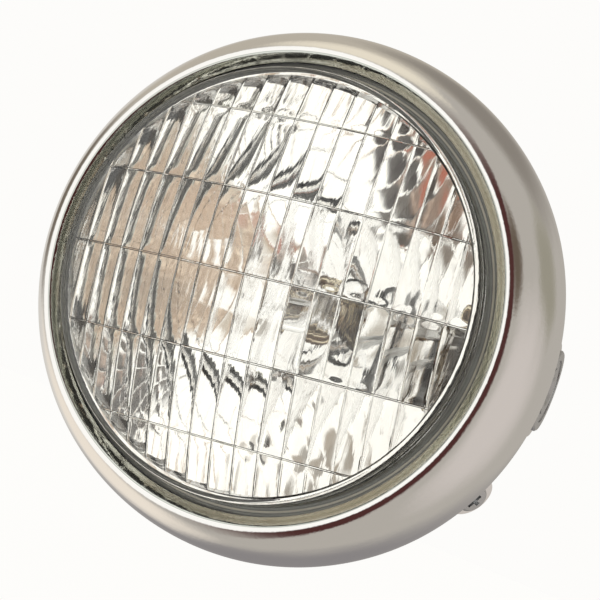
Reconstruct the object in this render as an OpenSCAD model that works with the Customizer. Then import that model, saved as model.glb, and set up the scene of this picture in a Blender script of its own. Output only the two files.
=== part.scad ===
// Round motorcycle headlamp: chromed bucket and rim, pressed glass lens, mirror bowl and bayonet bulb.
// Millimetres. The front faces -Y and +Z is up. The origin is on the lamp's axis, level with the side bolts.
// Depths named ..._s are measured along the lamp's axis from the plane of the lens's fluted circle.

/* [Rim] */
// How far the rim's lip covers the edge of the glass
lip_cover = 5; // [4:0.25:6]
// Width of the lip, from its edge to its front crest
lip_w = 3.5; // [2.5:0.25:4.5]
// How far the rim flares out beyond the crest
rim_flare = 15.5; // [13.5:0.5:18]
// Depth of the front crest
crest_s = 5.5; // [4.5:0.25:6.5]
// How far the lip turns back from the crest
lip_turn = 1.5; // [1:0.25:2]
// Depth at which the rim reaches its full diameter
rim_full_s = 44.5; // [40:0.5:48]
// Length of the straight edge behind that
rim_edge = 1.5; // [1:0.25:2.5]
// Thickness of the rim's sheet
rim_sheet = 1; // [0.8:0.1:1.3]
// Fullness of the rim's section, where 1 is an ellipse
rim_fullness = 1.24; // [1:0.02:1.4]

/* [Lens] */
// Diameter of the glass
glass_d = 172; // [150:1:190]
// Width of the plain glass between the flutes and the rim's lip
plain_w = 6; // [5:0.25:8]
// Rise of the domed front
dome_rise = 18.5; // [14:0.5:22]
// Thickness of the glass
glass_t = 3.5; // [3:0.25:4.5]
// Number of upright flutes across the circle
flutes = 18; // [14:2:24]
// Depth of a flute
flute_depth = 0.5; // [0.3:0.05:0.7]
// Height of a row of flutes
row_pitch = 28.2; // [24:0.2:32]
// Width of the groove between rows
row_groove = 0.8; // [0.5:0.1:1.2]
// Thickness of the glass's flange
flange_t = 4.5; // [4:0.25:5.5]
// Thickness of the gasket between the lip and the glass
gasket_t = 1; // [0.6:0.1:1.4]
// Turn of the lamp unit in the bucket, anticlockwise from the front
lens_turn = 6.3; // [0:0.1:10]

/* [Reflector] */
// Focal length of the mirror bowl
focal_length = 25; // [22:0.5:29]
// Thickness of the bowl's sheet
bowl_sheet = 0.8; // [0.6:0.1:1.2]
// Width of the bowl's flange inside the edge of the glass
bowl_seat_w = 7.9; // [6.9:0.1:9]
// How far the bowl's flange stands out beyond the glass
bowl_lip_w = 1.5; // [1.3:0.1:1.8]
// Thickness of the seal between lens and bowl
seal_t = 1.5; // [1:0.1:2]
// Clearance around the bulb's base in the bowl's neck
neck_gap = 3.2; // [2.8:0.1:4]
// Length of the neck behind the bowl
neck_l = 8; // [6:0.5:10]

/* [Bulb] */
// Clearance of the bulb's glass ball when it goes through the neck
ball_gap = 0.7; // [0.4:0.1:2]
// Thickness of the bulb's glass
bulb_wall = 0.8; // [0.5:0.1:1]
// Diameter of the bulb's metal base
base_d = 20; // [18:0.25:22]
// Wall of the base around the glass stem
base_wall = 2.2; // [1.6:0.1:3]
// Length of the bulb's metal base
base_l = 24; // [22:0.5:28]
// How far the base reaches into the neck
base_ahead = 15; // [12:0.5:17]
// How far the bulb's locating flange laps over the neck
collar_lap = 2.2; // [1.8:0.1:3]
// Thickness of the locating flange
collar_t = 1.2; // [0.8:0.1:1.6]
// Clearance around the bulb, its holder and its blades
bulb_gap = 0.3; // [0.2:0.05:0.5]
// Thickness of the holder's sheet
holder_sheet = 0.8; // [0.6:0.1:1]
// Clearance around the locating flange in the holder's cup
cup_gap = 2.5; // [1.5:0.1:3.5]
// Depth of the holder's cup
cup_l = 6; // [5:0.25:7]
// Thickness of the contact plate
plate_t = 2.5; // [2:0.1:3.5]
// Width of a contact blade
blade_w = 6.3; // [5:0.1:7]
// Thickness of a contact blade
blade_t = 0.8; // [0.6:0.1:1]
// Distance of the blades from the lamp's axis
blade_r = 5; // [4.5:0.1:5.5]
// Length of a blade behind the plate
blade_l = 12; // [9:0.5:14]
// Wall of the rubber boot
boot_wall = 2; // [1.5:0.1:2.5]

/* [Bucket] */
// Clearance between the rim and the bucket's mouth
rim_gap = 0.4; // [0.3:0.1:1]
// Thickness of the bucket's sheet
bucket_sheet = 1.2; // [1:0.1:1.6]
// How far the rim covers the bucket
rim_cover = 9; // [7:0.5:11]
// Length of the bucket's straight mouth
bucket_straight = 10; // [9.5:0.5:12]
// Room for wiring between the bowl's vertex and the bucket's back
wiring_room = 64.5; // [56:0.5:74]
// Fullness of the bucket's dome, where 1 is an ellipse
bucket_fullness = 0.84; // [0.7:0.02:1]

/* [Side bolts] */
// Distance of the side bolts behind the rim's edge
bolt_setback = 16.5; // [15:0.5:20]
// How far the flat pads lie under the bucket's greatest radius
pad_sink = 2.5; // [2:0.1:2.8]
// Width of a pad around its bush
pad_margin = 2.8; // [2:0.1:4]
// Diameter of a bush's flange
bush_flange_d = 31.4; // [28:0.2:33]
// Thickness of a bush's flange
bush_flange_t = 2.3; // [2:0.1:3]
// Diameter of a bush's barrel
bush_barrel_d = 16; // [14:0.5:18]
// Length of a bush under its flange
bush_l = 14; // [12:0.5:18]
// Bore of a bush's thread
bush_bore_d = 8.5; // [6.8:0.1:10.2]
// Wall of a bush's nut over its flats
bush_nut_wall = 4; // [3:0.25:5]
// Thickness of a bush's nut
bush_nut_t = 6; // [5:0.5:7.5]
// Thickness of a bush's washer
bush_washer_t = 1.6; // [1:0.1:2]

/* [Rim screws] */
// Angle of the rim screws below the side bolts
screw_angle = 28.5; // [26:0.5:40]
// Tilt of the rim screws towards the front
screw_tilt = 30; // [24:1:34]
// Distance of the screws' seats behind the rim's edge
seat_setback = 12.6; // [12:0.2:15]
// How far the middle of a seat lies under the bucket's greatest radius
seat_sink = 2.1; // [1.6:0.1:2.6]
// Room around a screw's head in its seat
seat_room = 2.2; // [1.8:0.1:3]
// Diameter of a screw's head
screw_head_d = 11.6; // [10:0.2:13]
// Height of a screw's head
screw_head_h = 3.3; // [2.6:0.1:4]
// Diameter of a screw's shank
screw_d = 5; // [4:0.5:6]
// Length of a screw's shank
screw_l = 12; // [10:0.5:15]
// Wall of a square nut over its flats
nut_wall = 1.5; // [1.2:0.1:2]
// Thickness of a square nut
nut_t = 4; // [3:0.5:5]
// Width of a rim ear
ear_w = 12; // [10:0.5:13]
// Thickness of the ears and of the hook
ear_t = 1.5; // [1.2:0.1:1.8]
// Width of the hook
hook_w = 14; // [10:0.5:18]

/* [Retaining ring] */
// Thickness of the retaining ring
ring_t = 1.6; // [1.2:0.1:2]
// Clearance of the ring inside the rim and outside the bowl
ring_gap = 0.8; // [0.5:0.1:1.2]
// Number of the ring's lugs and screws
ring_screw_count = 3; // [3:1:5]
// Diameter of the ring's screws
ring_screw_d = 3; // [2.5:0.1:3.4]
// Depth of the thread in a lug
lug_thread = 2.8; // [2.2:0.1:3]
// Width of a lug
lug_w = 12; // [9:0.5:15]
// Thickness of a lug
lug_t = 4.8; // [4:0.1:5]

/* [Grommet] */
// Diameter of the wire hole through the grommet
wire_d = 16; // [12:0.5:20]
// Wall of the grommet in the bucket's hole
grommet_wall = 5; // [4:0.5:6]
// How far the grommet's flanges lap over the bucket
grommet_lap = 5; // [3.5:0.5:6]
// Thickness of a grommet's flange
grommet_t = 3; // [2:0.25:4]
// Width of the bucket's flat back around the grommet
flat_margin = 5; // [3:0.5:8]

/* [Hidden] */
$fn = 96;
fit = 0.3;

glass_r = glass_d / 2;
mouth_r = glass_r - lip_cover;
crest_r = mouth_r + lip_w;
rim_r = crest_r + rim_flare;
rim_back_s = rim_full_s + rim_edge;
bolt_s = rim_back_s + bolt_setback;

circle_r = mouth_r - plain_w;
dome_r = (circle_r * circle_r + dome_rise * dome_rise) / (2 * dome_rise);
dome_centre_s = dome_r - dome_rise;
skirt_w = 2.3;
skirt_round = 1.8;
lens_wall = 1.5;
flange_s = crest_s + lip_turn + rim_sheet + gasket_t;
lens_back_s = flange_s + flange_t;

bowl_flange_s = lens_back_s + seal_t;
bowl_mouth_r = glass_r - bowl_seat_w;
bowl_flange_r = glass_r + bowl_lip_w;
bowl_turn = 1.4;
vertex_s = bowl_flange_s + bowl_mouth_r * bowl_mouth_r / (4 * focal_length);
focus_s = vertex_s - focal_length;
ring_s = bowl_flange_s + bowl_sheet;

base_r = base_d / 2;
stem_r = base_r - base_wall - bulb_gap;
stem_socket = 4;
neck_r = base_r + neck_gap;
neck_back_s = vertex_s - neck_r * neck_r / (4 * focal_length) + neck_l;
ball_r = neck_r - ball_gap;
collar_r = neck_r + collar_lap;
base_front_s = neck_back_s - base_ahead;
base_back_s = base_front_s + base_l;

holder_r = base_r + bulb_gap + holder_sheet;
holder_flange_s = neck_back_s + collar_t + bulb_gap;
cup_r = collar_r + cup_gap;
plate_s = base_back_s + bulb_gap;
holder_back_s = plate_s + plate_t + holder_sheet;
boot_back_s = holder_back_s + boot_wall + bulb_gap;

bucket_r = rim_r - rim_sheet - rim_gap;
bucket_front_s = rim_back_s - rim_cover;
dome_front_s = bucket_front_s + bucket_straight;
bucket_back_s = vertex_s + wiring_room;
wire_hole_r = wire_d / 2 + grommet_wall;
flat_r = wire_hole_r + grommet_lap + flat_margin;

pad_r = bush_flange_d / 2 + pad_margin;
pad_edge = 0.8;
pad_x = bucket_r - pad_sink;
pad_inner_x = pad_x - bucket_sheet;
bush_nut_af = bush_barrel_d + 2 * bush_nut_wall;

seat_s = rim_back_s + seat_setback;
seat_r = bucket_r - seat_sink;
seat_hole_r = screw_head_d / 2 + seat_room;
seat_rim_r = seat_hole_r + bucket_sheet;
seat_below = 14;
screw_hole_r = (screw_d + fit) / 2;
ear_z = bucket_sheet + fit;
nut_w = screw_d + 2 * nut_wall;

lug_r = bowl_flange_r + ring_gap / 2;
lug_gap = 0.2;
ring_screw_r = lug_r + 1.8;
hook_gap = 1;
hook_r = bucket_r - bucket_sheet - ear_t - hook_gap;
dip_ahead = 6;
dip_z = 2.6;
foot_l = 8;
hook_ahead = 18;
hook_behind = 4.5;
hook_foot_s = rim_back_s - hook_ahead;
hook_lip_s = rim_back_s + hook_behind;
ear_ahead = 19;
ear_foot_t = 4;
dip_w = 3.8;
main_z = -1;
main_w = 2.6;

// Radius of the rim's inside at a depth
function rim_inner_r(s) =
    crest_r + (rim_flare - rim_sheet) * pow(cos(asin((rim_full_s - s) / (rim_full_s - crest_s - rim_sheet))), rim_fullness);
function depth(s) = s - bolt_s;
function rim_curve(inset) = [for (t = [0:5:90])
    [crest_r + (rim_flare - inset) * pow(cos(t), rim_fullness),
     rim_full_s - (rim_full_s - crest_s - inset) * sin(t)]];
function lip_curve(inset) = [for (t = [15:15:90])
    [crest_r - lip_w * sin(t), crest_s + inset + lip_turn * (1 - cos(t))]];
function reversed(points) = [for (i = [len(points) - 1:-1:0]) points[i]];
function dome_s(r) = dome_centre_s - sqrt(dome_r * dome_r - r * r);
function bowl_s(r) = vertex_s - r * r / (4 * focal_length);
function bowl_back_s(r) = bowl_s(r) + bowl_sheet * sqrt(1 + pow(r / (2 * focal_length), 2));
function flat_turn(inset) = acos(pow(flat_r / (bucket_r - inset), 1 / bucket_fullness));
function dome_depth(inset) = (bucket_back_s - inset - dome_front_s) / sin(flat_turn(inset));
function bucket_curve(inset) = [for (i = [0:18])
    let (t = flat_turn(inset) * i / 18)
    [(bucket_r - inset) * pow(cos(t), bucket_fullness), dome_front_s + dome_depth(inset) * sin(t)]];
// A point of a rim screw's seat, as depth and radius: along the seat, then out along the screw
function seat_point(along, out) = [
    seat_s + along * cos(screw_tilt) - out * sin(screw_tilt),
    seat_r + along * sin(screw_tilt) + out * cos(screw_tilt)];

// A body of revolution about the lamp's axis, from points of radius and depth
module turned(points) {
    translate([0, -bolt_s, 0]) rotate([-90, 0, 0]) rotate_extrude() polygon(points);
}
// The same for the lamp unit, which is turned in its bucket
module lamp_unit() {
    rotate([0, -lens_turn, 0]) children();
}
// A cylinder along the lamp's axis
module axial(r, s0, s1) {
    translate([0, depth(s0), 0]) rotate([-90, 0, 0]) cylinder(r = r, h = s1 - s0);
}
// Brings what is drawn at the top of the lamp to an angle, anticlockwise from +X
module at_angle(a) {
    rotate([0, 90 - a, 0]) children();
}
// A block at the top of the lamp
module top_block(w, r0, r1, s0, s1) {
    translate([-w / 2, depth(s0), r0]) cube([w, s1 - s0, r1 - r0]);
}
// A plate at the top of the lamp, from points of depth and radius
module top_plate(w, points) {
    translate([0, -bolt_s, 0]) rotate([90, 0, 90]) linear_extrude(w, center = true) polygon(points);
}
module both_sides() {
    children();
    mirror([1, 0, 0]) children();
}
// The seat of the right rim screw, with +Z out along the screw
module screw_seat() {
    at_angle(-screw_angle) translate([0, depth(seat_s), seat_r]) rotate([screw_tilt, 0, 0]) children();
}
// The frame of the right side bolt, with +Z out of the lamp and zero on its axis
module side_bolt() {
    rotate([0, 90, 0]) children();
}

module rim_hollow() {
    turned(concat([[0, rim_back_s], [rim_r - rim_sheet, rim_back_s]], rim_curve(rim_sheet),
        [[0, crest_s + rim_sheet]]));
}

module rim() {
    color("gainsboro")
    turned(concat([[rim_r, rim_back_s]], rim_curve(0), lip_curve(0), reversed(lip_curve(rim_sheet)),
        reversed(rim_curve(rim_sheet)), [[rim_r - rim_sheet, rim_back_s]]));
}

module rim_hook() {
    lip_top_r = bucket_r - bucket_sheet / 2;
    color("silver") {
        intersection() {
            top_block(hook_w, hook_r, rim_r, hook_foot_s, hook_foot_s + foot_l);
            rim_hollow();
        }
        top_block(hook_w, hook_r, hook_r + ear_t, hook_foot_s + foot_l, hook_lip_s + ear_t);
        top_block(hook_w, hook_r, lip_top_r, hook_lip_s, hook_lip_s + ear_t);
    }
}

module rim_ear() {
    foot_s = rim_back_s - ear_ahead;
    foot_r = rim_r - rim_sheet - ear_foot_t;
    bend = [-10.5, -11.2];
    end = sqrt(pow(seat_hole_r - fit, 2) - ear_w * ear_w / 4);
    intersection() {
        difference() {
            at_angle(-screw_angle) top_plate(ear_w, [
                [foot_s, foot_r], [foot_s, rim_r], [foot_s + foot_l, rim_r], [foot_s + foot_l + 0.5, foot_r + ear_t],
                seat_point(bend[0], -ear_z), seat_point(end, -ear_z),
                seat_point(end, -ear_z - ear_t), seat_point(bend[1], -ear_z - ear_t), [foot_s + foot_l, foot_r]]);
            seat_cylinder(screw_hole_r, -seat_below, 0);
        }
        union() {
            rim_hollow();
            axial(rim_r, rim_back_s, seat_s + seat_below);
        }
    }
}
module rim_ears() {
    color("silver") both_sides() rim_ear();
}

module pan_screw(d, l, head_d, head_h) {
    recess_d = head_d * 0.52;
    recess_w = head_d * 0.14;
    difference() {
        union() {
            translate([0, 0, -l]) cylinder(d = d, h = l);
            rotate_extrude() polygon(concat([[0, 0], [head_d / 2, 0], [head_d / 2, head_h * 0.45]],
                [for (t = [15:15:60]) [head_d / 2 * (0.55 + 0.45 * cos(t)), head_h * (0.45 + 0.55 * sin(t))]],
                [[0, head_h]]));
        }
        for (a = [0, 90])
            rotate(a) translate([-recess_d / 2, -recess_w / 2, head_h * 0.35]) cube([recess_d, recess_w, head_h]);
    }
}
module rim_screws() {
    color("lightgray") both_sides() screw_seat() pan_screw(screw_d, screw_l, screw_head_d, screw_head_h);
}
module rim_nuts() {
    color("silver") both_sides() screw_seat() translate([0, 0, -ear_z - ear_t - nut_t]) difference() {
        translate([-nut_w / 2, -nut_w / 2, 0]) cube([nut_w, nut_w, nut_t]);
        translate([0, 0, -1]) cylinder(d = screw_d + 0.2, h = nut_t + 2);
    }
}

module ring_pattern() {
    for (i = [0:ring_screw_count - 1]) at_angle(150 + i * 360 / ring_screw_count) children();
}
module ring_hole(r, s0, s1) {
    translate([0, depth(s0), ring_screw_r]) rotate([-90, 0, 0]) cylinder(r = r, h = s1 - s0);
}
module ring_lugs() {
    color("silver") ring_pattern() difference() {
        intersection() {
            top_block(lug_w, lug_r, rim_r, ring_s - lug_t, ring_s - lug_gap);
            rim_hollow();
        }
        ring_hole(ring_screw_d / 2 + 0.1, ring_s - lug_gap - lug_thread, ring_s);
    }
}
module unit_ring() {
    color("silver") difference() {
        axial(rim_inner_r(ring_s) - ring_gap, ring_s, ring_s + ring_t);
        axial(bowl_mouth_r + bowl_turn + ring_gap, ring_s - 1, ring_s + ring_t + 1);
        ring_pattern() ring_hole((ring_screw_d + fit) / 2, ring_s - 1, ring_s + ring_t + 1);
    }
}
module ring_screws() {
    color("lightgray") ring_pattern() translate([0, depth(ring_s + ring_t), ring_screw_r]) rotate([-90, 0, 0])
        pan_screw(ring_screw_d, ring_t + lug_gap + lug_thread - fit, ring_screw_d * 1.9, ring_screw_d * 0.65);
}

module rim_gasket() {
    lip_s = crest_s + rim_sheet;
    wrap = 1.2;
    color("#181818") turned(concat(
        [[mouth_r - 0.5, flange_s], [mouth_r - 0.5, lip_s + lip_turn]], reversed(lip_curve(rim_sheet)),
        [[crest_r, lip_s], [crest_r + 1.1, lip_s + 0.7], [glass_r + wrap - 0.2, flange_s - 0.6],
         [glass_r + wrap, lens_back_s], [glass_r, lens_back_s], [glass_r, flange_s]]));
}

// The space behind the glass: upright flutes and level row grooves that follow the dome
module fluted_core() {
    inner_r = dome_r - glass_t;
    facets = 3;
    steps = flutes * facets;
    translate([0, depth(dome_centre_s), 0]) {
        rotate([0, 90, 0]) rotate_extrude() polygon(concat([[0, -circle_r]],
            [for (i = [0:steps]) let (x = circle_r * (2 * i / steps - 1), u = 2 * (i % facets) / facets - 1)
                [sqrt(inner_r * inner_r - x * x) - flute_depth * (1 - u * u), x]],
            [[0, circle_r]]));
        for (k = [-floor(circle_r / row_pitch):floor(circle_r / row_pitch)])
            translate([0, 0, k * row_pitch - row_groove / 2])
                cylinder(r = sqrt(inner_r * inner_r - pow(k * row_pitch, 2)) + row_groove / 2, h = row_groove);
    }
}
module lens() {
    color([0.86, 0.9, 0.9, 0.45]) lamp_unit() difference() {
        turned(concat([for (i = [0:15]) let (r = circle_r * i / 15) [r, dome_s(r)]],
            [for (t = [30:15:90]) [circle_r + skirt_w * sin(t), skirt_round * (1 - cos(t))]],
            [[circle_r + skirt_w, flange_s], [glass_r, flange_s], [glass_r, lens_back_s], [0, lens_back_s]]));
        intersection() {
            axial(circle_r - lens_wall, -dome_rise, lens_back_s + 1);
            fluted_core();
        }
    }
}
module lens_seal() {
    color("dimgray") difference() {
        axial(glass_r - 0.5, lens_back_s, bowl_flange_s);
        axial(bowl_mouth_r + bowl_turn, lens_back_s - 1, bowl_flange_s + 1);
    }
}
module reflector() {
    steps = 24;
    sleeve = 1.2;
    back_r = neck_r + sleeve;
    color("whitesmoke") turned(concat([[bowl_flange_r, bowl_flange_s]],
        [for (i = [0:steps]) let (r = bowl_mouth_r + (neck_r - bowl_mouth_r) * i / steps) [r, bowl_s(r)]],
        [[neck_r, neck_back_s], [back_r, neck_back_s]],
        [for (i = [0:steps]) let (r = back_r + (bowl_mouth_r - back_r) * i / steps) [r, bowl_back_s(r)]],
        [[bowl_mouth_r + bowl_turn, ring_s], [bowl_flange_r, ring_s]]));
}

module bulb_glass() {
    stem_end_s = base_front_s + stem_socket - bulb_gap;
    color([0.95, 0.97, 1, 0.35]) difference() {
        union() {
            translate([0, depth(focus_s), 0]) sphere(r = ball_r);
            axial(stem_r, focus_s, stem_end_s);
        }
        translate([0, depth(focus_s), 0]) sphere(r = ball_r - bulb_wall);
        axial(stem_r - bulb_wall, focus_s, stem_end_s + 1);
    }
}
// A filament across the lamp on two upright supports that stand in the base
module filament(s, z, spread, foot_s) {
    wire = 0.35;
    coil = 0.9;
    for (side = [-1, 1])
        translate([side * spread, depth(s), z]) rotate([-90, 0, 0]) cylinder(r = wire, h = foot_s - s);
    translate([-spread, depth(s), z]) rotate([0, 90, 0]) cylinder(r = coil, h = 2 * spread);
}
module bulb_filaments() {
    foot_s = base_front_s + stem_socket;
    color("gray") {
        filament(focus_s, main_z, main_w, foot_s);
        filament(focus_s - dip_ahead, dip_z, dip_w, foot_s);
    }
}
// A half-round trough under the dipped filament, on one support
module bulb_shield() {
    shield_l = 6;
    shield_r = 3;
    shield_t = 0.5;
    stalk = 0.4;
    stalk_s = focus_s - dip_ahead + shield_r - shield_t;
    color("silver") {
        translate([0, depth(focus_s - dip_ahead), dip_z]) rotate([0, 90, 0]) difference() {
            cylinder(r = shield_r, h = shield_l, center = true);
            cylinder(r = shield_r - shield_t, h = shield_l + 1, center = true);
            translate([-2 * shield_r, -2 * shield_r, -shield_l]) cube([2 * shield_r, 4 * shield_r, 2 * shield_l]);
        }
        translate([0, depth(stalk_s), dip_z - stalk / 2]) rotate([-90, 0, 0])
            cylinder(r = stalk, h = base_front_s + stem_socket - stalk_s);
    }
}
module bulb_base() {
    color("goldenrod") difference() {
        union() {
            axial(base_r, base_front_s, base_back_s);
            axial(collar_r, neck_back_s, neck_back_s + collar_t);
        }
        axial(stem_r + bulb_gap, base_front_s - 1, base_front_s + stem_socket);
    }
}
module bulb_holder() {
    cup_front_s = holder_flange_s + holder_sheet - cup_l;
    color("silver") turned([
        [base_r + bulb_gap, holder_flange_s], [cup_r - holder_sheet, holder_flange_s],
        [cup_r - holder_sheet, cup_front_s], [cup_r, cup_front_s],
        [cup_r, holder_flange_s + holder_sheet], [holder_r, holder_flange_s + holder_sheet],
        [holder_r, holder_back_s], [base_r - 1, holder_back_s], [base_r - 1, holder_back_s - holder_sheet],
        [base_r + bulb_gap, holder_back_s - holder_sheet]]);
}
module contact_plate() {
    color("peru") difference() {
        axial(base_r, plate_s, plate_s + plate_t);
        for (i = [0:2]) blade(i, fit / 2);
    }
}
// One of three contact blades, through the plate and out behind
module blade(i, gap) {
    at_angle(90 + i * 360 / 3)
        top_block(blade_w + 2 * gap, blade_r - blade_t / 2 - gap, blade_r + blade_t / 2 + gap,
            base_back_s, plate_s + plate_t + blade_l);
}
module bulb_contacts() {
    color("gold") for (i = [0:2]) blade(i, 0);
}
module bulb_boot() {
    boot_front_s = holder_flange_s - 2;
    shoulder = 5;
    inner_r = cup_r + bulb_gap;
    tail_r = holder_r + bulb_gap;
    color("#202020") difference() {
        turned([
            [inner_r, boot_front_s], [inner_r + boot_wall, boot_front_s],
            [inner_r + boot_wall, holder_flange_s + boot_wall], [tail_r + boot_wall, holder_flange_s + boot_wall + shoulder],
            [tail_r + boot_wall, boot_back_s], [0, boot_back_s], [0, boot_back_s - boot_wall],
            [tail_r, boot_back_s - boot_wall], [tail_r, holder_flange_s + shoulder],
            [inner_r, holder_flange_s + holder_sheet + fit]]);
        for (i = [0:2]) blade(i, fit / 2);
    }
}

module seat_cylinder(r, z0, z1) {
    screw_seat() translate([0, 0, z0]) cylinder(r = r, h = z1 - z0);
}
module pad_cylinder(r, x0, x1) {
    side_bolt() translate([0, 0, x0]) cylinder(r = r, h = x1 - x0);
}
// The bucket's outer form: a dome with flat pads at the sides, and screw seats that stand proud at their back
module bucket_outside() {
    difference() {
        union() {
            turned(concat([[0, bucket_front_s], [bucket_r, bucket_front_s]], bucket_curve(0), [[0, bucket_back_s]]));
            both_sides() {
                pad_cylinder(pad_r, pad_x - pad_r, pad_x + bush_flange_t);
                seat_cylinder(seat_rim_r, -seat_below, 0);
            }
        }
        both_sides() pad_cylinder(pad_r + pad_edge, pad_x, pad_x + pad_r);
    }
}
// The bucket's inside, less the pads and the floors and walls of the screw seats
module bucket_inside() {
    difference() {
        union() {
            turned(concat([[0, bucket_front_s - 1], [bucket_r - bucket_sheet, bucket_front_s - 1]],
                bucket_curve(bucket_sheet), [[0, bucket_back_s - bucket_sheet]]));
            both_sides() pad_cylinder(pad_r - bucket_sheet, pad_inner_x - pad_r, pad_inner_x + bucket_sheet);
        }
        both_sides() {
            pad_cylinder(pad_r + pad_edge + bucket_sheet, pad_inner_x, pad_inner_x + pad_r);
            seat_cylinder(seat_rim_r, -bucket_sheet, seat_below);
        }
    }
}
module shell() {
    color("gainsboro") difference() {
        bucket_outside();
        bucket_inside();
        both_sides() {
            seat_cylinder(seat_hole_r, 0, seat_below);
            seat_cylinder(seat_hole_r, -seat_below - 1, -bucket_sheet);
            seat_cylinder(screw_hole_r, -seat_below, seat_below);
            pad_cylinder(bush_barrel_d / 2 + fit / 2, pad_x - bush_l, pad_x + bush_flange_t);
        }
        axial(wire_hole_r, bucket_back_s - grommet_t, bucket_back_s + grommet_t);
        top_block(hook_w + 2 * fit, hook_r + ear_t, rim_r, hook_lip_s - fit, hook_lip_s + ear_t + fit);
    }
}

module side_bush() {
    edge = 0.6;
    chamfer = 1.4;
    bore_r = bush_bore_d / 2;
    barrel_r = bush_barrel_d / 2;
    flange_r = bush_flange_d / 2;
    face_x = pad_x + bush_flange_t;
    groove_r = flange_r - 3.5;
    groove_w = 3.3;
    groove_t = 0.4;
    rotate_extrude() polygon([
        [bore_r, pad_x - bush_l], [barrel_r, pad_x - bush_l], [barrel_r, pad_x], [flange_r, pad_x],
        [flange_r, face_x - edge], [flange_r - edge, face_x],
        [groove_r, face_x], [groove_r, face_x - groove_t],
        [groove_r - groove_w, face_x - groove_t], [groove_r - groove_w, face_x],
        [bore_r + chamfer, face_x], [bore_r, face_x - chamfer]]);
}
module side_bush_right() {
    color("silver") side_bolt() side_bush();
}
module side_bush_left() {
    color("silver") mirror([1, 0, 0]) side_bolt() side_bush();
}
module bush_washers() {
    color("silver") both_sides() side_bolt() translate([0, 0, pad_inner_x - bush_washer_t]) difference() {
        cylinder(d = bush_nut_af / cos(30) + fit, h = bush_washer_t);
        translate([0, 0, -1]) cylinder(d = bush_barrel_d + fit, h = bush_washer_t + 2);
    }
}
module bush_nuts() {
    color("silver") both_sides() side_bolt() translate([0, 0, pad_inner_x - bush_washer_t - bush_nut_t]) difference() {
        cylinder(d = bush_nut_af / cos(30), h = bush_nut_t, $fn = 6);
        translate([0, 0, -1]) cylinder(d = bush_barrel_d + 0.2, h = bush_nut_t + 2);
    }
}

module wire_grommet() {
    front_s = bucket_back_s - bucket_sheet;
    flange_r = wire_hole_r + grommet_lap;
    wire_r = wire_d / 2;
    soft = 1;
    color("#202020") turned([
        [wire_r, front_s - grommet_t + soft], [wire_r + soft, front_s - grommet_t],
        [flange_r - 2 * soft, front_s - grommet_t], [flange_r - soft, front_s],
        [wire_hole_r, front_s], [wire_hole_r, bucket_back_s], [flange_r, bucket_back_s],
        [flange_r - soft, bucket_back_s + grommet_t], [wire_r + soft, bucket_back_s + grommet_t],
        [wire_r, bucket_back_s + grommet_t - soft]]);
}

rim();
rim_hook();
rim_ears();
rim_screws();
rim_nuts();
ring_lugs();
unit_ring();
ring_screws();
rim_gasket();
lens();
lens_seal();
reflector();
bulb_glass();
bulb_filaments();
bulb_shield();
bulb_base();
bulb_holder();
contact_plate();
bulb_contacts();
bulb_boot();
shell();
side_bush_right();
side_bush_left();
bush_washers();
bush_nuts();
wire_grommet();
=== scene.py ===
import bpy, bmesh, math
from mathutils import Matrix, Vector


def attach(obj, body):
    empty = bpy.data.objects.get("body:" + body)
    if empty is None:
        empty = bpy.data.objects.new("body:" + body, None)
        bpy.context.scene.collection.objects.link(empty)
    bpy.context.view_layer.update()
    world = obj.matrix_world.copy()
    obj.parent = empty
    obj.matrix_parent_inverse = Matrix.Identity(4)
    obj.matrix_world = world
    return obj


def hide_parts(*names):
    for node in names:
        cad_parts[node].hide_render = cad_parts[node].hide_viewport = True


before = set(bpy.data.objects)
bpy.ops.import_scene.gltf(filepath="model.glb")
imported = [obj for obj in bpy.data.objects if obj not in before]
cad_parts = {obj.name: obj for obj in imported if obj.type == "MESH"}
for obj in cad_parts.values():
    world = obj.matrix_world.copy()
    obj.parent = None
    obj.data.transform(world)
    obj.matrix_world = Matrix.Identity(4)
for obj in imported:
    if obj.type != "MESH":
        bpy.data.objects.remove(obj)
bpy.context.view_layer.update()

MM = 0.001

# Sizes in millimetres, most of them from the part's source. A name that ends in _S is a depth,
# which runs back from the edge of the lens's dome; the row frame has its origin at BOLT_S.
BOLT_S = 62.5

# Rim
RIM_R = 100.0
RIM_FULL_S = 44.5
RIM_BACK_S = 46.0
RIM_SHEET = 1.0
RIM_FULLNESS = 1.24
CREST_R = 84.5
CREST_S = 5.5
MOUTH_R = 81.0
LIP_END_S = 8.3
LIP_SHEET = 0.4

# Lens
GLASS_R = 86.0
GLASS_T = 3.5
CIRCLE_R = 75.0
CAVITY_R = CIRCLE_R - 1.5
DOME_RISE = 18.5
DOME_R = (CIRCLE_R ** 2 + DOME_RISE ** 2) / (2 * DOME_RISE)
DOME_CENTRE_S = DOME_R - DOME_RISE
SKIRT_W = 2.3
SKIRT_ROUND = 1.8
FLANGE_S = 9.0
FLANGE_FOOT = 0.6
FLANGE_EDGE = 0.4
LENS_BACK_S = 13.5
LENS_TURN = math.radians(6.3)
FLUTES = 18
FLUTE_PITCH = 2 * CIRCLE_R / FLUTES
FLUTE_DEPTH = 0.4
BORDER_DEPTH = 0.2
BORDER_W = 1.1
ROWS = range(-2, 3)
ROW_PITCH = 28.2
ROW_W = 0.8
ROW_DEPTH = 0.36
ROW_FADE = 3.2
FLUTE_AT_ROW = 0.3

# Mirror bowl
FOCAL = 25.0
BOWL_MOUTH_R = 78.1
BOWL_FLANGE_R = 87.5
BOWL_FLANGE_S = 15.0
BOWL_SHEET = 0.8
BOWL_TURN = 1.4
NECK_R = 13.2
NECK_L = 8.0
NECK_SHEET = 1.2
VERTEX_S = BOWL_FLANGE_S + BOWL_MOUTH_R ** 2 / (4 * FOCAL)
FOCUS_S = VERTEX_S - FOCAL
NECK_END_S = VERTEX_S - NECK_R ** 2 / (4 * FOCAL) + NECK_L

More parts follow.
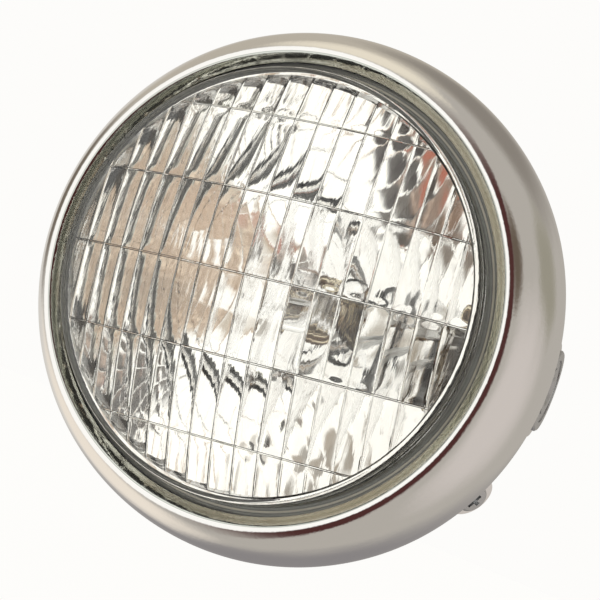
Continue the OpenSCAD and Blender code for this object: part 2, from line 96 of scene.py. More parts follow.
# Bulb
BULB_R = 12.5
BULB_WALL = 1.9
STEM_R = 7.5
STEM_WALL = 0.8
STEM_AHEAD = 11.3
STEM_END_S = NECK_END_S - STEM_AHEAD


def add_object(name, data):
    obj = bpy.data.objects.new(name, data)
    bpy.context.scene.collection.objects.link(obj)
    return obj


def mesh_of(name, verts, faces):
    """A mesh from points in millimetres, in the row frame."""
    mesh = bpy.data.meshes.new(name)
    mesh.from_pydata([(x * MM, y * MM, z * MM) for x, y, z in verts], [], faces)
    mesh.validate()
    return mesh


def dress(mesh, finish, smooth_angle):
    """Smooth shading that stays sharp past an angle in degrees, and one material."""
    mesh.shade_smooth()
    mesh.set_sharp_from_angle(angle=math.radians(smooth_angle))
    mesh.materials.clear()
    mesh.materials.append(finish)


def new_object(name, verts, faces, finish, smooth_angle):
    """A piece from points in millimetres, with its points joined and its faces turned outwards."""
    mesh = mesh_of(name, verts, faces)
    bm = bmesh.new()
    bm.from_mesh(mesh)
    bmesh.ops.remove_doubles(bm, verts=bm.verts, dist=1e-6)
    bmesh.ops.recalc_face_normals(bm, faces=bm.faces)
    bm.to_mesh(mesh)
    bm.free()
    dress(mesh, finish, smooth_angle)
    return add_object(name, mesh)


def revolve(profile, steps, closed=True):
    """Points and faces of a profile of (radius, depth) turned about the lamp's axis."""
    verts, faces = [], []
    n = len(profile)
    for k in range(steps):
        a = 2 * math.pi * k / steps
        for r, s in profile:
            verts.append((r * math.cos(a), s - BOLT_S, r * math.sin(a)))
    for k in range(steps):
        k2 = (k + 1) % steps
        for i in range(n if closed else n - 1):
            j = (i + 1) % n
            faces.append((k * n + i, k * n + j, k2 * n + j, k2 * n + i))
    return verts, faces


# Materials

def object_noise(tree, scale, detail, stretch=(1, 1, 1)):
    """Noise that stays with the object."""
    nodes, links = tree.nodes, tree.links
    where = nodes.new("ShaderNodeTexCoord")
    mapping = nodes.new("ShaderNodeMapping")
    mapping.inputs["Scale"].default_value = stretch
    noise = nodes.new("ShaderNodeTexNoise")
    noise.inputs["Scale"].default_value = scale
    noise.inputs["Detail"].default_value = detail
    links.new(where.outputs["Object"], mapping.inputs["Vector"])
    links.new(mapping.outputs["Vector"], noise.inputs["Vector"])
    return noise.outputs["Fac"]


def vary_roughness(tree, bsdf, scale, detail, low, high):
    spread = tree.nodes.new("ShaderNodeMapRange")
    spread.inputs["From Min"].default_value = 0.3
    spread.inputs["From Max"].default_value = 0.7
    spread.inputs["To Min"].default_value = low
    spread.inputs["To Max"].default_value = high
    tree.links.new(object_noise(tree, scale, detail), spread.inputs["Value"])
    tree.links.new(spread.outputs["Result"], bsdf.inputs["Roughness"])


def add_bump(tree, bsdf, scale, detail, strength, distance, stretch=(1, 1, 1)):
    bump = tree.nodes.new("ShaderNodeBump")
    bump.inputs["Strength"].default_value = strength
    bump.inputs["Distance"].default_value = distance
    tree.links.new(object_noise(tree, scale, detail, stretch), bump.inputs["Height"])
    tree.links.new(bump.outputs["Normal"], bsdf.inputs["Normal"])


def radius_of(tree, along=0.0):
    """The distance from the lamp's axis in millimetres, plus a share of the depth."""
    nodes, links = tree.nodes, tree.links
    where = nodes.new("ShaderNodeTexCoord")
    split = nodes.new("ShaderNodeSeparateXYZ")
    links.new(where.outputs["Object"], split.inputs[0])
    flat = nodes.new("ShaderNodeCombineXYZ")
    links.new(split.outputs["X"], flat.inputs["X"])
    links.new(split.outputs["Z"], flat.inputs["Z"])
    size = nodes.new("ShaderNodeVectorMath")
    size.operation = "LENGTH"
    links.new(flat.outputs[0], size.inputs[0])
    both = nodes.new("ShaderNodeMath")
    both.operation = "MULTIPLY_ADD"
    both.inputs[1].default_value = along
    links.new(split.outputs["Y"], both.inputs[0])
    links.new(size.outputs["Value"], both.inputs[2])
    out = nodes.new("ShaderNodeMath")
    out.operation = "MULTIPLY"
    out.inputs[1].default_value = 1000.0
    links.new(both.outputs[0], out.inputs[0])
    return out.outputs[0]


def bands(tree, value, low, high, stops):
    """A colour ramp over a value between low and high."""
    nodes, links = tree.nodes, tree.links
    share = nodes.new("ShaderNodeMapRange")
    share.inputs["From Min"].default_value = low
    share.inputs["From Max"].default_value = high
    links.new(value, share.inputs["Value"])
    ramp = nodes.new("ShaderNodeValToRGB")
    while len(ramp.color_ramp.elements) > 1:
        ramp.color_ramp.elements.remove(ramp.color_ramp.elements[0])
    for i, (place, color) in enumerate(stops):
        where = (place - low) / (high - low)
        e = ramp.color_ramp.elements[0] if i == 0 else ramp.color_ramp.elements.new(where)
        e.position = where
        e.color = (*color, 1)
    links.new(share.outputs["Result"], ramp.inputs["Fac"])
    return ramp.outputs["Color"]


def finish_of(name, color, metallic, roughness, noise=None, bump=None, rings=None, **more):
    """A material whose roughness varies by noise, with a bump, and with rings of colour by radius."""
    m = bpy.data.materials.new(name)
    m.use_nodes = True
    tree = m.node_tree
    b = tree.nodes["Principled BSDF"]
    b.inputs["Base Color"].default_value = (*color, 1.0)
    b.inputs["Metallic"].default_value = metallic
    b.inputs["Roughness"].default_value = roughness
    for key, value in more.items():
        b.inputs[key.replace("_", " ")].default_value = value
    if rings:
        tree.links.new(bands(tree, radius_of(tree), *rings), b.inputs["Base Color"])
    if noise:
        vary_roughness(tree, b, *noise)
    if bump:
        add_bump(tree, b, *bump)
    return m


# Width in millimetres of the base's turned rings, painted as bright and dark bands of highlight and shade, and
# how much they lean with the depth
PAINTED_RING_W = 1.1
PAINTED_RING_LEAN = 0.8


def make_base_metal_painted_rings():
    """The bulb's plated base, its turned rings painted in as bright and dark bands: painted highlights and
    painted shade that show through the glass.
    """
    m = finish_of("bulb_base_plate_painted_rings", (0.5, 0.45, 0.35), 1.0, 0.12, noise=(300.0, 4.0, 0.08, 0.25))
    tree = m.node_tree
    turn = tree.nodes.new("ShaderNodeMath")
    turn.operation = "PINGPONG"
    turn.inputs[1].default_value = PAINTED_RING_W
    tree.links.new(radius_of(tree, PAINTED_RING_LEAN), turn.inputs[0])
    # Cream bands are painted highlights, dark brown bands are painted shade
    color = bands(tree, turn.outputs[0], 0.0, PAINTED_RING_W, [
        (0.0, (0.80, 0.74, 0.60)), (0.16, (0.66, 0.60, 0.46)), (0.3, (0.09, 0.055, 0.03)),
        (0.65, (0.24, 0.16, 0.095)), (0.8, (0.045, 0.03, 0.02)), (1.1, (0.08, 0.055, 0.035))])
    tree.links.new(color, tree.nodes["Principled BSDF"].inputs["Base Color"])
    return m


# noise is scale, detail, and the least and most roughness; bump is scale, detail, strength and distance, and
# a stretch; rings are the least and most radius in millimetres, and the colours at radii between them
BRIGHT_PLATE = (0.97, 0.965, 0.955)
RUBBER_NOISE = (400.0, 4.0, 0.45, 0.75)
RUBBER_BUMP = (1200.0, 3.0, 0.2, 0.0001)

chrome = finish_of("chrome_plate", BRIGHT_PLATE, 1.0, 0.06,
                   noise=(90.0, 4.0, 0.03, 0.08), bump=(14.0, 2.0, 0.04, 0.002))
steel = finish_of("plated_steel_sheet", (0.62, 0.62, 0.61), 1.0, 0.3, noise=(160.0, 5.0, 0.22, 0.42))
zinc = finish_of("zinc_plate", (0.60, 0.61, 0.62), 1.0, 0.3,
                 noise=(300.0, 6.0, 0.2, 0.4), bump=(900.0, 3.0, 0.15, 0.0001))
black_rubber = finish_of("black_rubber_moulded", (0.018, 0.018, 0.018), 0.0, 0.55,
                         noise=RUBBER_NOISE, bump=RUBBER_BUMP)

# Dark bead that the glass is bedded in, with grey and cream rings painted in: painted highlight lines and
# painted reflections at the glass's edge
sealant_painted_highlights = finish_of(
    "dark_lens_sealant", (0.1, 0.1, 0.1), 0.0, 0.5,
    noise=(400.0, 4.0, 0.4, 0.7), bump=(500.0, 3.0, 0.3, 0.0004),
    rings=(72.0, 84.0, [
        (74.5, (0.03, 0.03, 0.026)), (75.6, (0.07, 0.072, 0.06)), (75.9, (0.24, 0.24, 0.20)),
        (76.2, (0.06, 0.062, 0.052)), (76.9, (0.11, 0.115, 0.095)), (77.2, (0.24, 0.24, 0.20)),
        (77.5, (0.07, 0.075, 0.065)), (78.5, (0.16, 0.17, 0.14)), (78.9, (0.03, 0.03, 0.025)),
        (79.2, (0.62, 0.58, 0.45)), (79.7, (0.50, 0.47, 0.37)), (79.9, (0.05, 0.05, 0.04)),
        (80.4, (0.24, 0.24, 0.19)), (81.0, (0.16, 0.16, 0.13)), (81.4, (0.02, 0.02, 0.02))]))

# Dark where it shows past the lip, and painted pale behind it, a painted brightness for the mirror bowl to show
# back through the glass
gasket = finish_of(
    "gasket_rubber_painted_pale", (0.03, 0.03, 0.03), 0.0, 0.55, noise=RUBBER_NOISE, bump=RUBBER_BUMP,
    rings=(81.0, 86.0, [(81.8, (0.025, 0.025, 0.022)), (82.3, (0.62, 0.60, 0.53))]))

# Bright plate, with a darker lip turned in towards the glass whose bands of colour are painted shade and painted
# reflections, a painted dark line beside the crest, and the fine grain of the pressed edge
rim_chrome = finish_of(
    "rim_chrome_plate_painted_lip", BRIGHT_PLATE, 1.0, 0.06,
    noise=(90.0, 4.0, 0.03, 0.09), bump=(700.0, 3.0, 0.10, 0.0003),
    rings=(80.0, 88.0, [
        (80.9, (0.42, 0.42, 0.36)), (81.6, (0.62, 0.62, 0.55)), (82.6, (0.50, 0.50, 0.42)),
        (83.4, (0.66, 0.67, 0.60)), (84.1, (0.76, 0.79, 0.75)), (84.45, (0.50, 0.52, 0.48)),
        (84.65, BRIGHT_PLATE)]))

base_metal = make_base_metal_painted_rings()

# Pressed glass has faint streaks along its flutes
lens_glass = finish_of("lens_glass_clear", (0.995, 0.998, 0.992), 0.0, 0.0, Transmission_Weight=1.0, IOR=1.5,
                       bump=(1.0, 3.0, 0.2, 0.0002, (700.0, 50.0, 40.0)))
bulb_clear = finish_of("bulb_glass_clear", (0.98, 0.98, 0.98), 0.0, 0.0, Transmission_Weight=1.0, IOR=1.5)
mirror = finish_of("mirror_bowl", (0.99, 0.985, 0.975), 1.0, 0.02, noise=(60.0, 3.0, 0.01, 0.035))
brass = finish_of("bright_brass", (0.85, 0.66, 0.36), 1.0, 0.2, noise=(300.0, 4.0, 0.15, 0.3))
resin = finish_of("brown_resin", (0.22, 0.12, 0.06), 0.0, 0.4, noise=(500.0, 4.0, 0.3, 0.5))

FINISHES = (
    (steel, ("rim_hook", "rim_ears", "ring_lugs", "unit_ring", "bulb_holder", "bulb_filaments")),
    (zinc, ("rim_screws", "rim_nuts", "ring_screws", "side_bush_right", "side_bush_left", "bush_washers",
            "bush_nuts")),
    (black_rubber, ("rim_gasket", "bulb_boot", "wire_grommet")),
    (base_metal, ("bulb_base", "bulb_shield")),
    (chrome, ("shell",)),
    (rim_chrome, ("rim",)),
    (sealant_painted_highlights, ("lens_seal",)),
    (lens_glass, ("lens",)),
    (bulb_clear, ("bulb_glass",)),
    (mirror, ("reflector",)),
    (brass, ("bulb_contacts",)),
    (resin, ("contact_plate",)),
)
for finish, node_names in FINISHES:
    for node_name in node_names:
        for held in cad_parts[node_name].material_slots:
            held.material = finish


# Rim

# The crest's inner turn and the lip's edge, as steps of radius and depth from the crest and the mouth
CREST_TURN = ((-0.12, 0.02), (-0.3, 0.1), (-0.55, 0.26), (-0.8, 0.46))
LIP_EDGE = ((0.35, -0.28), (0.1, -0.08), (0.0, 0.0))


def rim_profile():
    outer, inner = [], []
    for i in range(91):
        t = math.radians(i)
        outer.append((CREST_R + (RIM_R - CREST_R) * math.cos(t) ** RIM_FULLNESS,
                      RIM_FULL_S - (RIM_FULL_S - CREST_S) * math.sin(t)))
        inner.append((CREST_R + (RIM_R - CREST_R - RIM_SHEET) * math.cos(t) ** RIM_FULLNESS,
                      RIM_FULL_S - (RIM_FULL_S - CREST_S - RIM_SHEET) * math.sin(t)))
    outer += [(CREST_R + r, CREST_S + s) for r, s in CREST_TURN]
    outer += [(MOUTH_R + r, LIP_END_S + s) for r, s in LIP_EDGE]
    inner += [(CREST_R - 0.6, CREST_S + RIM_SHEET + 0.2), (MOUTH_R, LIP_END_S + LIP_SHEET)]
    return [(RIM_R, RIM_BACK_S)] + outer + inner[::-1] + [(RIM_R - RIM_SHEET, RIM_BACK_S)]


rim_verts, rim_faces = revolve(rim_profile(), 360)
rim_piece = new_object("rim_chromed", rim_verts, rim_faces, rim_chrome, 40.0)
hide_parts("rim")
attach(rim_piece, "root")


def ring_piece(name, profile, finish, node):
    """A closed ring about the lamp's axis, in place of one CAD node."""
    verts, faces = revolve(profile, 256)
    piece = new_object(name, verts, faces, finish, 35.0)
    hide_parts(node)
    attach(piece, "root")


# The gasket fills the wedge behind the rim's lip, and the seal is the dark bead that the glass is bedded in
GASKET_WEDGE = [(81.3, 8.74), (81.3, 9.0), (85.8, 9.0), (85.8, 6.65), (84.2, 6.7)]
SEAL_BEAD = [(74.6, 13.52), (85.6, 13.52), (85.6, 14.98), (79.6, 14.98), (78.6, 13.9), (74.6, 13.9)]
ring_piece("gasket_wedge", GASKET_WEDGE, gasket, "rim_gasket")
ring_piece("seal_bead", SEAL_BEAD, sealant_painted_highlights, "lens_seal")


# Bucket

def smoothed(node, name, finish, angle):
    """A copy of a CAD piece with its points joined and its curved faces shaded smooth."""
    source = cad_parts[node]
    mesh = source.data.copy()
    mesh.name = name
    mesh.transform(source.matrix_world)
    bm = bmesh.new()
    bm.from_mesh(mesh)
    bmesh.ops.remove_doubles(bm, verts=bm.verts, dist=2e-6)
    bmesh.ops.dissolve_limit(bm, angle_limit=math.radians(0.05), verts=bm.verts, edges=bm.edges)
    bm.to_mesh(mesh)
    bm.free()
    dress(mesh, finish, angle)
    piece = add_object(name, mesh)
    shade = piece.modifiers.new("even_faces", "WEIGHTED_NORMAL")
    shade.keep_sharp = True
    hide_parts(node)
    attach(piece, "root")


smoothed("shell", "bucket_smooth", chrome, 8.5)


# Mirror bowl

def bowl_profile():
    """The flange, its bright lip under the seal, the mirror's face, the neck and the back."""
    steps = 110
    front = [(BOWL_FLANGE_R, BOWL_FLANGE_S), (80.0, BOWL_FLANGE_S),
             (78.6, 14.0), (74.4, 13.95), (74.4, 14.1), (77.2, 14.4)]
    for i in range(steps + 1):
        r = BOWL_MOUTH_R + (NECK_R - BOWL_MOUTH_R) * i / steps
        front.append((r, VERTEX_S - r * r / (4 * FOCAL)))
    sleeve = NECK_R + NECK_SHEET
    back = [(NECK_R, NECK_END_S), (sleeve, NECK_END_S)]
    for i in range(steps + 1):
        r = sleeve + (BOWL_MOUTH_R - sleeve) * i / steps
        back.append((r, VERTEX_S - r * r / (4 * FOCAL) + BOWL_SHEET * math.sqrt(1 + (r / (2 * FOCAL)) ** 2)))
    behind = BOWL_FLANGE_S + BOWL_SHEET
    return front + back + [(BOWL_MOUTH_R + BOWL_TURN, behind), (BOWL_FLANGE_R, behind)]


bowl_verts, bowl_faces = revolve(bowl_profile(), 256)
bowl_piece = new_object("mirror_bowl_polished", bowl_verts, bowl_faces, mirror, 30.0)
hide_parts("reflector")
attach(bowl_piece, "root")


# Bulb

def ball(radius, stem_r):
    """A ball's outline, from its front point round to where the stem begins."""
    steps = 60
    points = []
    for i in range(steps + 1):
        t = math.pi - (math.pi - math.asin(stem_r / radius)) * i / steps
        points.append((radius * math.sin(t) if i else 0.0, FOCUS_S + radius * math.cos(t)))
    return points


def bulb_profile():
    """The blown ball and its stem, with a wall thick enough for the bright and dark rings at its edge."""
    stem = [(STEM_R, STEM_END_S), (STEM_R - STEM_WALL, STEM_END_S)]
    return ball(BULB_R, STEM_R) + stem + ball(BULB_R - BULB_WALL, STEM_R - STEM_WALL)[::-1]


bulb_verts, bulb_faces = revolve(bulb_profile(), 96, closed=False)
bulb_piece = new_object("bulb_blown", bulb_verts, bulb_faces, bulb_clear, 35.0)
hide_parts("bulb_glass")
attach(bulb_piece, "root")


# Lens

# Distances of the mesh's lines from a flute's border and from a row's groove, then the step of the lines
# between the rows and the least gap that they keep
FLUTE_LINES = (0.15, 0.3, 0.45, 0.8, 1.7, 2.9)
ROW_LINES = (0.0, 0.16, 0.32, 0.4, 1.0, 1.6, 2.4, 3.2)
LINE_STEP = 1.4
LINE_GAP = 0.6


def lens_outside():
    """The dome, skirt and flange, open at the back where the cavity's wall begins."""
    profile = []
    for i in range(61):
        r = CIRCLE_R * i / 60
        profile.append((r, DOME_CENTRE_S - math.sqrt(DOME_R ** 2 - r ** 2)))
    for i in range(10, 91, 10):
        t = math.radians(i)
        profile.append((CIRCLE_R + SKIRT_W * math.sin(t), SKIRT_ROUND * (1 - math.cos(t))))
    profile += [(CIRCLE_R + SKIRT_W, FLANGE_S - FLANGE_FOOT), (CIRCLE_R + SKIRT_W + FLANGE_FOOT, FLANGE_S),
                (GLASS_R - FLANGE_EDGE, FLANGE_S), (GLASS_R, FLANGE_S + FLANGE_EDGE),
                (GLASS_R, LENS_BACK_S - FLANGE_EDGE), (GLASS_R - FLANGE_EDGE, LENS_BACK_S)]
    return profile


def fluted_depth(x, z):
    """The depth of the inner face: a dome with cylindrical flutes, their borders and the grooves of the rows."""
    across = 2 * ((x + CIRCLE_R) / FLUTE_PITCH % 1.0) - 1
    border = (1 - abs(across)) * FLUTE_PITCH / 2
    to_row = min(abs(z - k * ROW_PITCH) for k in ROWS)
    fade = min(to_row / ROW_FADE, 1.0)
    height = FLUTE_AT_ROW + (1 - FLUTE_AT_ROW) * fade * fade * (3 - 2 * fade)
    bulge = FLUTE_DEPTH * (1 - across * across) * height
    if border < BORDER_W / 2:
        bulge -= BORDER_DEPTH * (0.5 + 0.5 * math.cos(2 * math.pi * border / BORDER_W))
    groove = ROW_DEPTH * math.cos(math.pi * to_row / ROW_W) if to_row < ROW_W / 2 else 0.0
    ridge = math.sqrt((DOME_R - GLASS_T) ** 2 - x * x) - bulge + groove
    return DOME_CENTRE_S - math.sqrt(max(ridge * ridge - z * z, 0.0))


def across_lines():
    """The places of the mesh's lines across the flutes, closer at their borders."""
    places = (0.0, *FLUTE_LINES, FLUTE_PITCH / 2, *(FLUTE_PITCH - d for d in reversed(FLUTE_LINES)))
    lines = [-CIRCLE_R + FLUTE_PITCH * i + place for i in range(FLUTES) for place in places]
    return [-CAVITY_R] + [x for x in lines if -CAVITY_R + 0.05 < x < CAVITY_R - 0.05] + [CAVITY_R]


def along_lines():
    """The places of the mesh's lines along the flutes, closer at the rows."""
    lines = {round(k * ROW_PITCH + side * d, 4) for k in ROWS for d in ROW_LINES for side in (-1, 1)}
    z = -CAVITY_R
    while z <= CAVITY_R:
        if all(abs(z - other) > LINE_GAP for other in lines):
            lines.add(round(z, 4))
        z += LINE_STEP
    return [-CAVITY_R] + sorted(z for z in lines if abs(z) < CAVITY_R) + [CAVITY_R]


def lens_mesh():
    """Points and faces of the outside and of the fluted face, whose points past the cavity's edge lie on it."""
    verts, faces = revolve(lens_outside(), 360, closed=False)
    base = len(verts)
    xs, zs = across_lines(), along_lines()
    for x in xs:
        limit = math.sqrt(max(CAVITY_R ** 2 - x * x, 0.0))
        for z in zs:
            held = min(max(z, -limit), limit)
            verts.append((x, fluted_depth(x, held) - BOLT_S, held))
    m = len(zs)
    for i in range(len(xs) - 1):
        for j in range(m - 1):
            first = base + i * m + j
            quad = (first, first + m, first + m + 1, first + 1)
            spots = {tuple(round(c, 5) for c in verts[q]) for q in quad}
            if len(spots) >= 3:
                faces.append(quad)
    return verts, faces


def zip_rings(bm, first, second):
    """Joins two closed rings about the lamp's axis with triangles, in step with their angles."""
    def by_angle(verts):
        return sorted((math.atan2(v.co.z, v.co.x), i, v) for i, v in enumerate(verts))

    a, b = by_angle(first), by_angle(second)
    i = j = 0
    while i < len(a) or j < len(b):
        here, there = a[i % len(a)][2], b[j % len(b)][2]
        next_a = a[i + 1][0] if i + 1 < len(a) else a[0][0] + 2 * math.pi
        next_b = b[j + 1][0] if j + 1 < len(b) else b[0][0] + 2 * math.pi
        if j >= len(b) or (i < len(a) and next_a <= next_b):
            bm.faces.new((here, a[(i + 1) % len(a)][2], there))
            i += 1
        else:
            bm.faces.new((here, b[(j + 1) % len(b)][2], there))
            j += 1


def build_lens():
    mesh = mesh_of("lens_fluted", *lens_mesh())
    bm = bmesh.new()
    bm.from_mesh(mesh)
    bmesh.ops.remove_doubles(bm, verts=bm.verts, dist=2e-6)

    # The edge of the fluted face drops to the flange's back, and the two join there. All in a fixed order, so
    # that each run gives the same mesh.
    loose = [e for e in bm.edges if len(e.link_faces) == 1]
    inner = [e for e in loose if all(math.hypot(v.co.x, v.co.z) < (CAVITY_R + 0.2) * MM for v in e.verts)]
    outer = dict.fromkeys(v for e in loose if e not in inner for v in e.verts)
    dropped = {v: bm.verts.new((v.co.x, (LENS_BACK_S - BOLT_S) * MM, v.co.z))
               for v in dict.fromkeys(v for e in inner for v in e.verts)}
    for e in inner:
        a, b = e.link_loops[0].vert, e.link_loops[0].link_loop_next.vert
        bm.faces.new((b, a, dropped[a], dropped[b]))
    zip_rings(bm, dropped.values(), outer)
    bmesh.ops.recalc_face_normals(bm, faces=bm.faces)
    bm.to_mesh(mesh)
    bm.free()
    c, s = math.cos(LENS_TURN), math.sin(LENS_TURN)
    mesh.transform(Matrix(((c, 0, -s, 0), (0, 1, 0, 0), (s, 0, c, 0), (0, 0, 0, 1))))
    dress(mesh, lens_glass, 16.0)
    return add_object("lens_fluted", mesh)


lens_piece = build_lens()
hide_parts("lens")
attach(lens_piece, "root")


# Stage

def heading(az, el):
    """A direction: az turns from -Y towards +X and el rises from the floor, in degrees."""
    a, e = math.radians(az), math.radians(el)
    return Vector((math.sin(a) * math.cos(e), -math.cos(a) * math.cos(e), math.sin(e)))


def patch(az, el, full, gone, tone, strength=1.0, second=None, only=None):
    """A soft patch of the room about a direction, by the angles at which it is full and gone.

    second is another tone that shows in it by the mottle noise, and only is the direction, full and gone
    angles of a second patch that limits this one.
    """
    return heading(az, el), full, gone, tone, strength, second, only


# What the chrome shows. The wide dark patch before the last leaves a ring round the white one, on one side
# only, which is the dark line beside the rim's crest.
WHITE = (1.0, 0.985, 0.945)
CHROME_BASE = (0.44, 0.41, 0.37)
CHROME_ROOM = [
    patch(-132, 40, 22, 46, (0.48, 0.435, 0.365)),
    patch(-136, -14, 22, 44, (0.66, 0.63, 0.585)),
    patch(176, 42, 5, 27, (0.25, 0.225, 0.195)),
    patch(-172, -32, 8, 34, (0.25, 0.235, 0.235)),
    patch(140, 24, 4, 18, (0.30, 0.28, 0.22), 0.9),
    patch(108, -10, 14, 42, (0.59, 0.54, 0.505)),
    patch(-109, 4, 5, 20, (0.17, 0.14, 0.11)),
    patch(-90, 74, 8, 28, (0.80, 0.73, 0.60)),
    patch(-112, -44, 12, 34, (0.84, 0.76, 0.66)),
    patch(70, 34, 5, 20, (0.13, 0.10, 0.075)),
    patch(-30, 0, 84, 92, (0.075, 0.028, 0.026), only=(heading(62, -12), 58, 96)),
    patch(-30, 0, 57, 65, WHITE),
]

# What the bowl shows through the glass; its white makes up for what the glass and the mirror take
BOWL_WHITE = (1.22, 1.20, 1.13)
BROWN = (0.47, 0.335, 0.23)
BOWL_BASE = (0.60, 0.51, 0.40)
BOWL_ROOM = [
    patch(-18, 0, 52, 66, BOWL_WHITE),
    patch(84, 2, 42, 50, BROWN, second=(0.84, 0.68, 0.51)),
    patch(70, 22, 3, 14, (0.34, 0.26, 0.19), 0.7),
    patch(66, -24, 3, 14, (0.60, 0.43, 0.30), 0.7),
    patch(62, -9, 2, 8, BOWL_WHITE, 0.9),
    patch(46, 18, 5, 11, BOWL_WHITE, 0.9),
    patch(49, -37, 3, 9, (0.60, 0.32, 0.23), 0.6),
    patch(30, 64, 22, 29, BOWL_WHITE),
    patch(26, -64, 24, 30, BOWL_WHITE),
    patch(6, -30, 11, 16, (0.24, 0.15, 0.10), 0.95, second=(0.46, 0.32, 0.23)),
    patch(-10, -26, 4, 9, (0.16, 0.12, 0.09), 0.9),
    patch(10, -33, 2, 7, (0.50, 0.15, 0.09), 0.9),
    patch(22, -21, 6, 9, (0.05, 0.04, 0.035)),
    patch(12, -18.5, 4, 8, (0.05, 0.04, 0.035)),
    patch(3, -15.5, 3, 7, (0.10, 0.085, 0.07)),
    patch(14, -26, 1.5, 3, BOWL_WHITE),
    patch(21, 12, 1.5, 4.5, (0.42, 0.37, 0.30), 0.7),
    patch(4, 26, 3, 6, (0.40, 0.34, 0.27), 0.9),
    patch(16, 13, 1.5, 3, (0.035, 0.03, 0.025)),
    patch(4, 14, 1, 2.5, (0.18, 0.15, 0.115), 0.9),
    patch(13, 28, 3, 6, (0.34, 0.30, 0.25), 0.9),
    patch(-3, 31, 3, 7, (0.36, 0.31, 0.25), 0.9),
    patch(-11, 1, 3, 6, (0.34, 0.28, 0.20), 0.85),
    patch(-21, 4, 1.5, 4, (0.12, 0.10, 0.075), 0.95),
    patch(-29, 3, 3, 6, (0.40, 0.33, 0.24), 0.8),
]

LIT_ROOM = (0.80, 0.79, 0.77)
SEEN_ROOM = (0.982, 0.974, 0.957)
BEND = 0.16


def world_room():
    """A plain light level on matt things, near white behind the object, and a soft room in metal and glass."""
    world = bpy.data.worlds.new("room")
    bpy.context.scene.world = world
    world.use_nodes = True
    nodes, links = world.node_tree.nodes, world.node_tree.links
    nodes.clear()

    # Directions bent by noise, so that the patches have uneven edges
    where = nodes.new("ShaderNodeTexCoord")
    noise = nodes.new("ShaderNodeTexNoise")
    noise.inputs["Scale"].default_value = 5.0
    noise.inputs["Detail"].default_value = 3.0
    links.new(where.outputs["Generated"], noise.inputs["Vector"])
    bend = nodes.new("ShaderNodeVectorMath")
    bend.operation = "MULTIPLY_ADD"
    bend.inputs[1].default_value = (BEND, BEND, BEND)
    links.new(noise.outputs["Color"], bend.inputs[0])
    links.new(where.outputs["Generated"], bend.inputs[2])
    centred = nodes.new("ShaderNodeVectorMath")
    centred.operation = "SUBTRACT"
    centred.inputs[1].default_value = (BEND / 2, BEND / 2, BEND / 2)
    links.new(bend.outputs[0], centred.inputs[0])
    bent = nodes.new("ShaderNodeVectorMath")
    bent.operation = "NORMALIZE"
    links.new(centred.outputs[0], bent.inputs[0])

    # Where a patch with two tones shows the second
    patchy = nodes.new("ShaderNodeTexNoise")
    patchy.inputs["Scale"].default_value = 16.0
    patchy.inputs["Detail"].default_value = 5.0
    links.new(bent.outputs[0], patchy.inputs["Vector"])
    mottle = nodes.new("ShaderNodeMapRange")
    mottle.inputs["From Min"].default_value = 0.46
    mottle.inputs["From Max"].default_value = 0.66
    links.new(patchy.outputs["Fac"], mottle.inputs["Value"])

    def near(direction, full, gone, strength=1.0):
        dot = nodes.new("ShaderNodeVectorMath")
        dot.operation = "DOT_PRODUCT"
        dot.inputs[1].default_value = direction
        links.new(bent.outputs[0], dot.inputs[0])
        share = nodes.new("ShaderNodeMapRange")
        share.interpolation_type = "SMOOTHSTEP"
        share.inputs["From Min"].default_value = math.cos(math.radians(gone))
        share.inputs["From Max"].default_value = math.cos(math.radians(full))
        share.inputs["To Max"].default_value = strength
        links.new(dot.outputs["Value"], share.inputs["Value"])
        return share.outputs["Result"]

    def over(below, share, tone):
        mix = nodes.new("ShaderNodeMix")
        mix.data_type = "RGBA"
        links.new(share, mix.inputs["Factor"])
        for socket, value in ((mix.inputs[6], below), (mix.inputs[7], tone)):
            if isinstance(value, tuple):
                socket.default_value = (*value, 1)
            else:
                links.new(value, socket)
        return mix.outputs[2]

    def room(color, patches):
        for direction, full, gone, tone, strength, second, only in patches:
            share = near(direction, full, gone, strength)
            if only:
                both = nodes.new("ShaderNodeMath")
                both.operation = "MULTIPLY"
                links.new(share, both.inputs[0])
                links.new(near(*only), both.inputs[1])
                share = both.outputs[0]
            if second:
                tone = over(tone, mottle.outputs["Result"], second)
            color = over(color, share, tone)
        return color

    path = nodes.new("ShaderNodeLightPath")
    shown = over(LIT_ROOM, path.outputs["Is Camera Ray"], SEEN_ROOM)
    shown = over(shown, path.outputs["Is Glossy Ray"], room(CHROME_BASE, CHROME_ROOM))
    shown = over(shown, path.outputs["Is Transmission Ray"], room(BOWL_BASE, BOWL_ROOM))
    back = nodes.new("ShaderNodeBackground")
    links.new(shown, back.inputs["Color"])
    out = nodes.new("ShaderNodeOutputWorld")
    links.new(back.outputs[0], out.inputs["Surface"])


world_room()

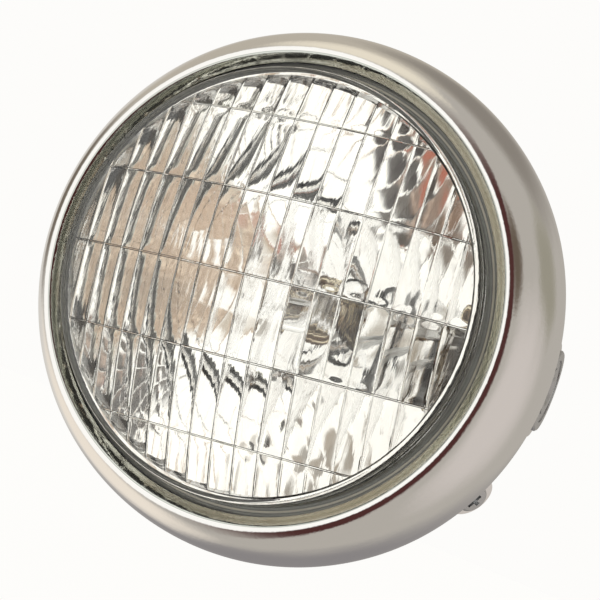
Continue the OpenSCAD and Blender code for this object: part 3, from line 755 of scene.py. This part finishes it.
FLOOR_Z = -0.42
FLOOR_HALF = 3.0
FLOOR_LIT = (0.80, 0.76, 0.72)
FLOOR_GLOW = (0.78, 0.775, 0.76)
FLOOR_SHADED = (0.26, 0.26, 0.26)


def make_floor():
    """A pale floor; the camera sees most of its colour as glow, and a lit share that keeps the shadow."""
    mesh = bpy.data.meshes.new("floor")
    corners = [(x * FLOOR_HALF, y * FLOOR_HALF, FLOOR_Z) for x, y in ((-1, -1), (1, -1), (1, 1), (-1, 1))]
    mesh.from_pydata(corners, [], [(0, 1, 2, 3)])
    m = bpy.data.materials.new("floor_pale")
    m.use_nodes = True
    nodes, links = m.node_tree.nodes, m.node_tree.links
    nodes.clear()
    lit = nodes.new("ShaderNodeBsdfDiffuse")
    lit.inputs["Color"].default_value = (*FLOOR_LIT, 1)
    glow = nodes.new("ShaderNodeEmission")
    glow.inputs["Color"].default_value = (*FLOOR_GLOW, 1)
    shaded = nodes.new("ShaderNodeBsdfDiffuse")
    shaded.inputs["Color"].default_value = (*FLOOR_SHADED, 1)
    seen = nodes.new("ShaderNodeAddShader")
    links.new(glow.outputs[0], seen.inputs[0])
    links.new(shaded.outputs[0], seen.inputs[1])
    path = nodes.new("ShaderNodeLightPath")
    mix = nodes.new("ShaderNodeMixShader")
    links.new(path.outputs["Is Camera Ray"], mix.inputs["Fac"])
    links.new(lit.outputs[0], mix.inputs[1])
    links.new(seen.outputs[0], mix.inputs[2])
    out = nodes.new("ShaderNodeOutputMaterial")
    links.new(mix.outputs[0], out.inputs["Surface"])
    mesh.materials.append(m)
    floor = add_object("floor", mesh)
    floor.visible_glossy = False
    floor.visible_transmission = False
    return floor


make_floor()


# Fitted to the photograph's ellipses
CAMERA_AT = (0.1591, -0.48325, -0.01263)
CAMERA_TURN = (91.538, -20.498, 18.221)
CAMERA_LENS = 77.82


def make_camera():
    data = bpy.data.cameras.new("camera")
    data.sensor_width = 36.0
    data.lens = CAMERA_LENS
    data.clip_start = 0.01
    camera = add_object("camera", data)
    camera.location = CAMERA_AT
    camera.rotation_euler = [math.radians(angle) for angle in CAMERA_TURN]
    bpy.context.scene.camera = camera


make_camera()
bpy.context.scene.view_settings.view_transform = "Standard"
